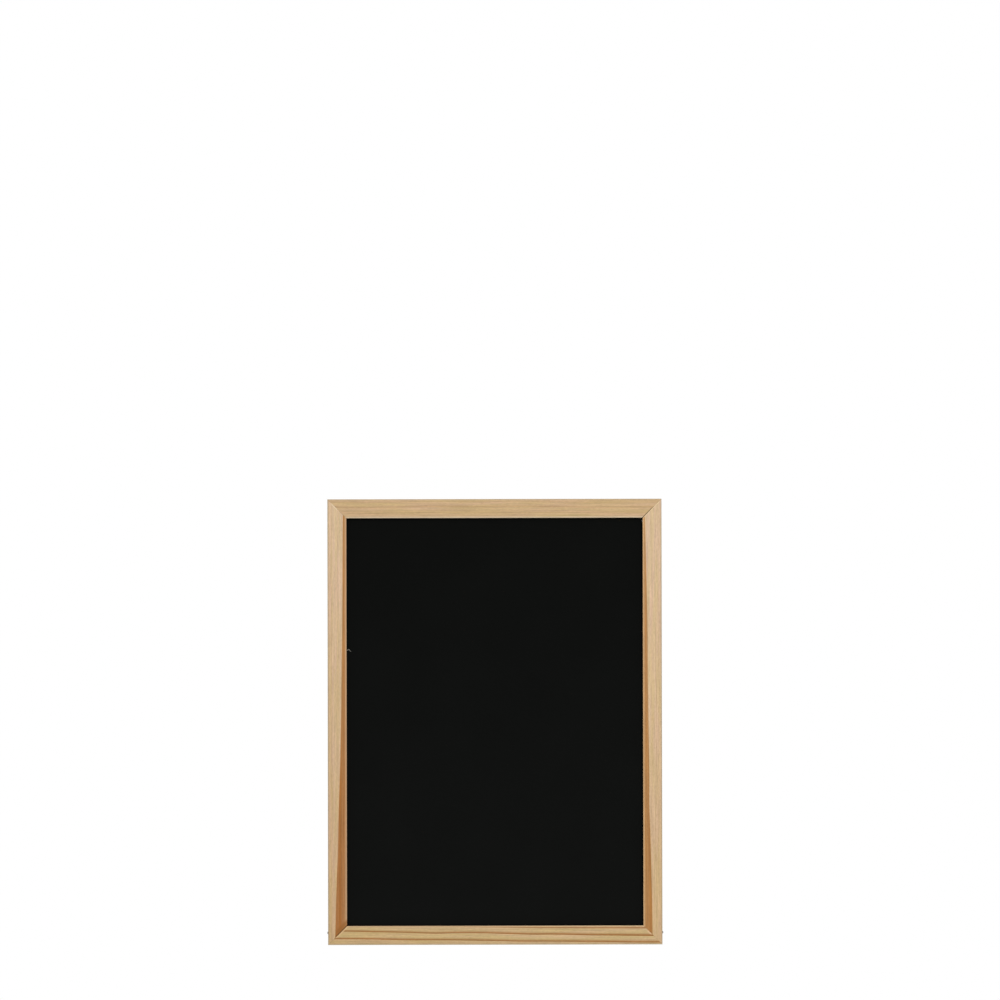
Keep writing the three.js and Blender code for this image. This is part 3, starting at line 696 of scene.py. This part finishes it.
# Backboard: 3 mm hardboard, glued to the sheet to keep it flat. Wood fibres pressed on a wire screen give it
# a brown, felted back that keeps the mark of the screen's weave, drawn at 2 mm where the real one is nearer
# 1 mm.
SCREEN_PITCH = 2 * MM
BACKBOARD_PITCH = 9 * MM
BACKBOARD_SWELL = 0.05 * MM
CLUMP = 0.9 * MM
BLOTCH = 35 * MM
WAVE_PITCH = math.pi / 10
hardboard = new_material("screen_pressed_hardboard")
tree = hardboard.node_tree
here = add_node(tree, "ShaderNodeTexCoord")
weave = []
for axis in ("X", "Z"):
    bars = add_node(tree, "ShaderNodeTexWave", {
        "Vector": here.outputs["Object"], "Scale": WAVE_PITCH / SCREEN_PITCH, "Distortion": 0.2,
        "Detail": 1, "Detail Scale": 0.5}, bands_direction=axis)
    weave.append(bars.outputs["Fac"])
mesh_mark = add_node(tree, "ShaderNodeMath", {0: weave[0], 1: weave[1]}, operation="MULTIPLY")
fibres = add_node(tree, "ShaderNodeTexNoise", {
    "Vector": here.outputs["Object"], "Scale": 1 / CLUMP, "Detail": 5, "Roughness": 0.7, "Distortion": 1})
blotches = add_node(tree, "ShaderNodeTexNoise", {
    "Vector": here.outputs["Object"], "Scale": 1 / BLOTCH, "Detail": 3})
shade = add_node(tree, "ShaderNodeMath", {0: blotches, 1: 0.3, 2: fibres}, operation="MULTIPLY_ADD")
shade = add_node(tree, "ShaderNodeMath", {0: mesh_mark, 1: -0.18, 2: shade}, operation="MULTIPLY_ADD")
spread = add_node(tree, "ShaderNodeMapRange", {0: shade, 1: 0.3, 2: 0.85})
brown = add_node(tree, "ShaderNodeMix", {
    0: spread, 6: linear("5B3E27"), 7: linear("93704C")}, data_type="RGBA")
relief = add_node(tree, "ShaderNodeMath", {0: mesh_mark, 1: -1, 2: fibres}, operation="MULTIPLY_ADD")
bump = add_node(tree, "ShaderNodeBump", {"Height": relief, "Distance": 0.08 * MM, "Strength": 0.8})
felted = add_node(tree, "ShaderNodeMapRange", {0: fibres, 1: 0.3, 2: 0.7, 3: 0.76, 4: 0.88})
shader = add_node(tree, "ShaderNodeBsdfPrincipled", {
    "Base Color": brown.outputs[2], "Roughness": felted, "Specular IOR Level": 0.3, "Normal": bump})
add_node(tree, "ShaderNodeOutputMaterial", {"Surface": shader})

backboard = make_slab(
    "hardboard_back", backboard_low, backboard_high, BACKBOARD_PITCH, 0, BACKBOARD_SWELL, hardboard)
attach(backboard, "board")
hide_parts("backboard")

# Corner pins: 28 mm steel panel pins, driven through the bottom mitres from the sides. Their domed heads
# stand 0.8 mm proud of the wood.
PIN_HEAD_RADIUS = 1.1 * MM
PIN_HEAD_HEIGHT = 0.8 * MM
PIN_HEAD_RIM = 0.35 * MM
PIN_SEGMENTS = 40
for side in ("left", "right"):
    place = fasteners[f"pin_{side}"][0]
    dome = [(PIN_HEAD_RADIUS * at.x, PIN_HEAD_RIM + (PIN_HEAD_HEIGHT - PIN_HEAD_RIM) * at.y)
            for at in arc((0, 0), 1, 0, QUARTER, 8)]
    shank = [(0, -PIN_LENGTH), (PIN_RADIUS, PIN_POINT - PIN_LENGTH), (PIN_RADIUS, 0), (PIN_HEAD_RADIUS, 0)]
    vertices, faces = lathe(shank + dome[:-1] + [(0, PIN_HEAD_HEIGHT)], PIN_SEGMENTS)
    pin = new_piece(f"panel_pin_{side}", [place @ v for v in vertices], faces, dull_steel)
    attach(pin, "board")
    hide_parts(f"corner_pin_{side}")

# Hanger straps: 0.8 mm steel strip, cut with a round end, pierced for the screw and rolled round the ring's
# bar, then barrel-plated in zinc, which gives a cool, slightly cloudy silver.
STRAP_WIDTH = 8 * MM
STRAP_THICKNESS = 0.8 * MM
STRAP_EDGE = 0.14 * MM
STRAP_CREASE = math.radians(50)
STRAP_HOLE_PLAY = 0.2 * MM
STRAP_HOLE_LENGTH = 2 * MM
STRAP_HOLE_POINT = 0.5 * MM
CURL_RADIUS = 1.3 * MM
CURL_SWEEP = math.radians(292)
ZINC_BLOOM = 2.5 * MM
SCUFF = 0.25 * MM
zinc = new_material("barrel_plated_zinc")
tree = zinc.node_tree
here = add_node(tree, "ShaderNodeTexCoord")
bloom = add_node(tree, "ShaderNodeTexNoise", {
    "Vector": here.outputs["Object"], "Scale": 1 / ZINC_BLOOM, "Detail": 3, "Roughness": 0.55})
scuffs = add_node(tree, "ShaderNodeTexNoise", {
    "Vector": here.outputs["Object"], "Scale": 1 / SCUFF, "Detail": 2})
silver = add_node(tree, "ShaderNodeMix", {
    0: bloom, 6: linear("969A9E"), 7: linear("BFC3C6")}, data_type="RGBA")
haze = add_node(tree, "ShaderNodeMath", {0: scuffs, 1: 0.4, 2: bloom}, operation="MULTIPLY_ADD")
polish = add_node(tree, "ShaderNodeMapRange", {0: haze, 1: 0.4, 2: 1, 3: 0.3, 4: 0.48})
dings = add_node(tree, "ShaderNodeBump", {"Height": scuffs, "Distance": 0.006 * MM, "Strength": 0.5})
shader = add_node(tree, "ShaderNodeBsdfPrincipled", {
    "Base Color": silver.outputs[2], "Metallic": 1, "Roughness": polish, "Normal": dings})
add_node(tree, "ShaderNodeOutputMaterial", {"Surface": shader})


def strap_shape(screw_drop, curl_centre):
    """Vertices and faces of the strip: columns across it, from its round end to the end of its curl."""
    middle_line = []
    for at in arc((-screw_drop, 0), STRAP_WIDTH / 2, math.radians(8), math.radians(82), 10):
        middle_line.append((Vector((-2 * screw_drop - at.x, STRAP_THICKNESS / 2)), at.y))
    for z in (-0.66 * screw_drop, -0.33 * screw_drop):
        middle_line.append((Vector((z, STRAP_THICKNESS / 2)), STRAP_WIDTH / 2))
    for at in arc((0, curl_centre), CURL_RADIUS, -QUARTER, CURL_SWEEP, 36):
        middle_line.append((at, STRAP_WIDTH / 2))
    columns = 8
    vertices, faces = [], []
    for i, (at, half) in enumerate(middle_line):
        before, after = middle_line[max(i - 1, 0)][0], middle_line[min(i + 1, len(middle_line) - 1)][0]
        ahead = (after - before).normalized()
        square = Vector((-ahead.y, ahead.x)) * STRAP_THICKNESS / 2
        for face in (at - square, at + square):
            vertices += [(half * (2 * j / columns - 1), face.y, face.x) for j in range(columns + 1)]
    row = columns + 1
    for i in range(len(middle_line) - 1):
        low = 2 * i * row
        for j in range(columns):
            faces.append((low + j, low + j + 1, low + 2 * row + j + 1, low + 2 * row + j))
            faces.append((low + row + j, low + 3 * row + j, low + 3 * row + j + 1, low + row + j + 1))
        for j in (0, columns):
            faces.append((low + j, low + 2 * row + j, low + 3 * row + j, low + row + j))
    for low in (0, 2 * (len(middle_line) - 1) * row):
        faces += [(low + j, low + row + j, low + row + j + 1, low + j + 1) for j in range(columns)]
    return [Vector(v) for v in vertices], faces


for side in ("left", "right"):
    ring_low, ring_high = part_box(f"hanger_ring_{side}")
    under_head = fasteners[f"screw_{side}"][0].translation
    curl_centre = (ring_low.y + ring_high.y) / 2 - back
    place = Matrix.Translation((under_head.x, back, 0))
    vertices, faces = strap_shape(-under_head.z, curl_centre)
    strap = new_piece(f"zinc_strap_{side}", [place @ v for v in vertices], faces, zinc)
    edges = strap.modifiers.new("rolled edges", "BEVEL")
    edges.width = STRAP_EDGE
    edges.segments = 3
    edges.angle_limit = STRAP_CREASE
    keep_modifiers(strap)
    strap.data.shade_smooth()
    strap.data.set_sharp_from_angle(angle=STRAP_CREASE)
    hole_radius = SCREW_RADIUS + STRAP_HOLE_PLAY
    hole = pointed_bore(Matrix.Translation(under_head), hole_radius, STRAP_HOLE_LENGTH, STRAP_HOLE_POINT)
    carve(strap, [hole])
    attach(strap, "board")
    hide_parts(f"hanger_strap_{side}")

# Hanger rings: 1.6 mm steel wire bent to a D, with its ends butted inside the strap's curl, and zinc-plated.
# They swing in the straps.
WIRE_RADIUS = 0.8 * MM
RING_CORNER = 1.6 * MM
for side in ("left", "right"):
    low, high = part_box(f"hanger_ring_{side}")
    half = (high.x - low.x) / 2 - WIRE_RADIUS
    bar = high.z - WIRE_RADIUS
    bow = low.z + WIRE_RADIUS + half
    centre_x, centre_y = (low.x + high.x) / 2, (low.y + high.y) / 2
    loop = arc((half - RING_CORNER, bar - RING_CORNER), RING_CORNER, QUARTER, -QUARTER, 12)
    loop += arc((0, bow), half, 0, -2 * QUARTER, 60)
    loop += arc((RING_CORNER - half, bar - RING_CORNER), RING_CORNER, 2 * QUARTER, -QUARTER, 12)
    wire = bpy.data.curves.new("wire", "CURVE")
    wire.dimensions = "3D"
    wire.bevel_depth = WIRE_RADIUS
    wire.bevel_resolution = 8
    spline = wire.splines.new("POLY")
    spline.points.add(len(loop) - 1)
    spline.use_cyclic_u = True
    for spot, at in zip(spline.points, loop):
        spot.co = (centre_x + at.x, centre_y, at.y, 1)
    ring = bpy.data.objects.new(f"zinc_ring_{side}", wire)
    bpy.context.scene.collection.objects.link(ring)
    bpy.context.view_layer.update()
    swept = bpy.data.meshes.new_from_object(ring.evaluated_get(bpy.context.evaluated_depsgraph_get()))
    bpy.data.objects.remove(ring)
    ring = bpy.data.objects.new(f"zinc_ring_{side}", swept)
    bpy.context.scene.collection.objects.link(ring)
    swept.materials.clear()
    swept.materials.append(zinc)
    swept.shade_smooth()
    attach(ring, f"{side}_ring")
    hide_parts(f"hanger_ring_{side}")

# Hanger screws: pan-head wood screws with a cross recess, cold-headed from steel wire, thread-rolled and
# zinc-plated. They hold the straps to the stiles.
SCREW_CORE_RADIUS = 1.05 * MM
SCREW_PITCH = 1.1 * MM
SCREW_FLANK = 0.36 * MM
SCREW_HEAD_RADIUS = 2.8 * MM
SCREW_HEAD_HEIGHT = 2.1 * MM
SCREW_HEAD_RIM = 0.5 * MM
SCREW_HEAD_FLAT = 1.2 * MM
SCREW_SEGMENTS = 48
RECESS_SPAN = 1.6 * MM
RECESS_WIDTH = 0.45 * MM
RECESS_DEPTH = 1.3 * MM
SCREW_TURNS = {"left": math.radians(24), "right": math.radians(-11)}


def cross_recess(place):
    """A cutter for the recess: a cross that narrows with depth."""
    s, w = RECESS_SPAN, RECESS_WIDTH
    outline = [(s, w), (w, w), (w, s), (-w, s), (-w, w), (-s, w)]
    outline += [(-x, -z) for x, z in outline]
    levels = ((SCREW_HEAD_HEIGHT + 0.2 * MM, 1.04), (SCREW_HEAD_HEIGHT - RECESS_DEPTH, 0.62))
    vertices = [place @ Vector((x * share, y, z * share)) for y, share in levels for x, z in outline]
    count = len(outline)
    faces = [(j, (j + 1) % count, (j + 1) % count + count, j + count) for j in range(count)]
    faces += [range(count), range(count, 2 * count)]
    return new_piece("recess", vertices, faces, None)


for side in ("left", "right"):
    place = fasteners[f"screw_{side}"][0]
    first = SCREW_POINT - SCREW_LENGTH
    profile = [(0, -SCREW_LENGTH)]
    for i in range(int((-STRAP_THICKNESS - first) / SCREW_PITCH)):
        root = first + i * SCREW_PITCH
        crest = (SCREW_RADIUS, root + SCREW_FLANK)
        profile += [(SCREW_CORE_RADIUS, root), crest, (SCREW_CORE_RADIUS, root + 2 * SCREW_FLANK)]
    profile += [(SCREW_CORE_RADIUS, 0), (SCREW_HEAD_RADIUS - 0.1 * MM, 0), (SCREW_HEAD_RADIUS, 0.1 * MM)]
    for at in arc((0, 0), 1, 0, QUARTER, 10):
        profile.append((SCREW_HEAD_FLAT + (SCREW_HEAD_RADIUS - SCREW_HEAD_FLAT) * at.x,
                        SCREW_HEAD_RIM + (SCREW_HEAD_HEIGHT - SCREW_HEAD_RIM) * at.y))
    vertices, faces = lathe(profile + [(0, SCREW_HEAD_HEIGHT)], SCREW_SEGMENTS)
    screw = new_piece(f"pan_head_screw_{side}", [place @ v for v in vertices], faces, zinc)
    turned = Matrix.Rotation(SCREW_TURNS[side], 4, "Y")
    carve(screw, [cross_recess(place @ turned)])
    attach(screw, "board")
    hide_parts(f"hanger_screw_{side}")

# Wall pads: 12 mm discs punched from dark wool felt and stuck behind the bottom corners. The cut edge is a
# little hairy and the faces are matted.
FELT_STEP = 0.35 * MM
PAD_CORNER = 0.6 * MM
PAD_SEGMENTS = 110
STUCK_DOWN = 0.3 * MM
RUFFLE = 0.22 * MM
RUFFLE_LENGTH = 0.7 * MM
FELT_MAT = 3 * MM
# A single hair is too fine to show, so the nap is drawn in tufts
TUFT = 0.5 * MM
felt = new_material("pressed_wool_felt")
tree = felt.node_tree
here = add_node(tree, "ShaderNodeTexCoord")
hairs = add_node(tree, "ShaderNodeTexNoise", {
    "Vector": here.outputs["Object"], "Scale": 1 / TUFT, "Detail": 5, "Roughness": 0.75,
    "Distortion": 2.5})
mats = add_node(tree, "ShaderNodeTexNoise", {
    "Vector": here.outputs["Object"], "Scale": 1 / FELT_MAT, "Detail": 2})
mixed = add_node(tree, "ShaderNodeMath", {0: mats, 1: 0.5, 2: hairs}, operation="MULTIPLY_ADD")
share = add_node(tree, "ShaderNodeMapRange", {0: mixed, 1: 0.5, 2: 1})
wool = add_node(tree, "ShaderNodeMix", {
    0: share, 6: linear("2A2724"), 7: linear("57524C")}, data_type="RGBA")
nap = add_node(tree, "ShaderNodeBump", {"Height": hairs, "Distance": 0.15 * MM, "Strength": 1})
fuzzy = add_node(tree, "ShaderNodeMapRange", {0: hairs, 1: 0.3, 2: 0.7, 3: 0.9, 4: 1})
shader = add_node(tree, "ShaderNodeBsdfPrincipled", {
    "Base Color": wool.outputs[2], "Roughness": fuzzy, "Specular IOR Level": 0.2, "Sheen Weight": 0.5,
    "Sheen Roughness": 0.6, "Sheen Tint": linear("8C857C"), "Normal": nap})
add_node(tree, "ShaderNodeOutputMaterial", {"Surface": shader})
for side in ("left", "right"):
    low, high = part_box(f"wall_pad_{side}")
    radius, thickness = (high.x - low.x) / 2, high.y - low.y
    centre = Vector(((low.x + high.x) / 2, low.y, (low.z + high.z) / 2))
    rounds = round(radius / FELT_STEP)
    profile = [(0, 0)] + [(radius * i / rounds, 0) for i in range(1, rounds + 1)]
    steps = round((thickness - PAD_CORNER) / FELT_STEP)
    profile += [(radius, (thickness - PAD_CORNER) * i / steps) for i in range(1, steps)]
    turned_over = (radius - PAD_CORNER, thickness - PAD_CORNER)
    profile += [tuple(at) for at in arc(turned_over, PAD_CORNER, 0, QUARTER, 4)]
    profile += [((radius - PAD_CORNER) * i / rounds, thickness) for i in range(rounds - 1, -1, -1)]
    vertices, faces = lathe(profile, PAD_SEGMENTS)
    matted = []
    for v in vertices:
        inward = Vector((v.x / radius, 2 * v.y / thickness - 1, v.z / radius)) * -1
        ruffle = 0.5 + 0.5 * noise.fractal(v / RUFFLE_LENGTH, 1, 2, 3)
        loose = 1 if v.y > STUCK_DOWN else 0
        matted.append(centre + v + inward * ruffle * loose * RUFFLE)
    pad = new_piece(f"felt_pad_{side}", matted, faces, felt)
    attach(pad, "board")
    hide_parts(f"wall_pad_{side}")

# Floor: pale and plain, below the camera's frame. Where it is seen, straight or in metal, it is lifted to
# white so that it meets the world without an edge, and it keeps the board's shadow.
FLOOR_DROP = 0.22
FLOOR_RADIUS = 3.9
FLOOR_LIFT = 0.45


def where_seen(tree):
    """1 where the camera looks, straight or by way of metal, and 0 where light falls on other things."""
    rays = add_node(tree, "ShaderNodeLightPath")
    seen = add_node(tree, "ShaderNodeMath", {
        0: rays.outputs["Is Camera Ray"], 1: rays.outputs["Is Glossy Ray"]}, operation="MAXIMUM")
    return add_node(tree, "ShaderNodeMath", {
        0: seen, 1: rays.outputs["Is Transmission Ray"]}, operation="MAXIMUM")


floor_paint = new_material("pale_floor_paint")
tree = floor_paint.node_tree
lift = add_node(tree, "ShaderNodeMath", {0: where_seen(tree), 1: FLOOR_LIFT}, operation="MULTIPLY")
shader = add_node(tree, "ShaderNodeBsdfPrincipled", {
    "Base Color": linear("E8E8E6"), "Roughness": 0.9, "Specular IOR Level": 0.1,
    "Emission Color": (1, 1, 1, 1), "Emission Strength": lift})
add_node(tree, "ShaderNodeOutputMaterial", {"Surface": shader})
edge = [(at.x, at.y, bottom - FLOOR_DROP) for at in arc((0, 0), FLOOR_RADIUS, 0, 4 * QUARTER, 96)[:-1]]
floor = new_piece("floor", edge, [range(len(edge))], floor_paint)

# World: white wherever it is seen, straight or in metal, and otherwise a soft, weaker light from all round,
# as in a white studio.
AMBIENT = 0.5
world = bpy.data.worlds.new("studio")
world.use_nodes = True
bpy.context.scene.world = world
tree = world.node_tree
tree.nodes.clear()
strength = add_node(tree, "ShaderNodeMapRange", {0: where_seen(tree), 3: AMBIENT, 4: 1})
sky = add_node(tree, "ShaderNodeBackground", {"Color": (1, 1, 1, 1), "Strength": strength})
add_node(tree, "ShaderNodeOutputWorld", {"Surface": sky})

# Softboxes: a large one above and in front lights the top of the board a little more than the bottom, and a
# weaker one lights the back. Each has a place, its watts and its width.
SOFTBOXES = {"front_softbox": ((0.25, -1.35, 1), 15.8, 1.6), "back_softbox": ((-0.6, 2, 0.5), 21, 3.4)}
for name, (spot, power, width) in SOFTBOXES.items():
    softbox = bpy.data.lights.new(name, "AREA")
    softbox.shape = "RECTANGLE"
    softbox.size, softbox.size_y = width, 0.6 * width
    softbox.energy = power
    lamp = bpy.data.objects.new(name, softbox)
    lamp.location = spot
    lamp.rotation_euler = (Vector((0, 0, middle)) - lamp.location).to_track_quat("-Z", "Y").to_euler()
    bpy.context.scene.collection.objects.link(lamp)

# Camera: it looks straight at the board from far off, level with its middle and tilted up, so that the board
# sits low in the picture as it does in the photograph. Pixels are those of the 1000 by 1000 photograph.
PICTURE = 1000
PIXELS_PER_METRE = 1114
BOARD_CENTRE = (494.4, 721.8)
DISTANCE = 12
ROLL = math.radians(0.12)
camera_data = bpy.data.cameras.new("camera")
camera_data.sensor_width = 36
camera_data.lens = camera_data.sensor_width * DISTANCE * PIXELS_PER_METRE / PICTURE
focal_pixels = DISTANCE * PIXELS_PER_METRE
camera = bpy.data.objects.new("camera", camera_data)
camera.location = (0, stile_low.y - DISTANCE, middle)
tilt = math.atan((BOARD_CENTRE[1] - PICTURE / 2) / focal_pixels)
pan = math.atan((BOARD_CENTRE[0] - PICTURE / 2) / focal_pixels)
level = Matrix.Rotation(pan, 4, "Z") @ Matrix.Rotation(QUARTER + tilt, 4, "X")
camera.rotation_euler = (level @ Matrix.Rotation(-ROLL, 4, "Z")).to_euler()
bpy.context.scene.collection.objects.link(camera)
bpy.context.scene.camera = camera
bpy.context.scene.view_settings.view_transform = "Standard"
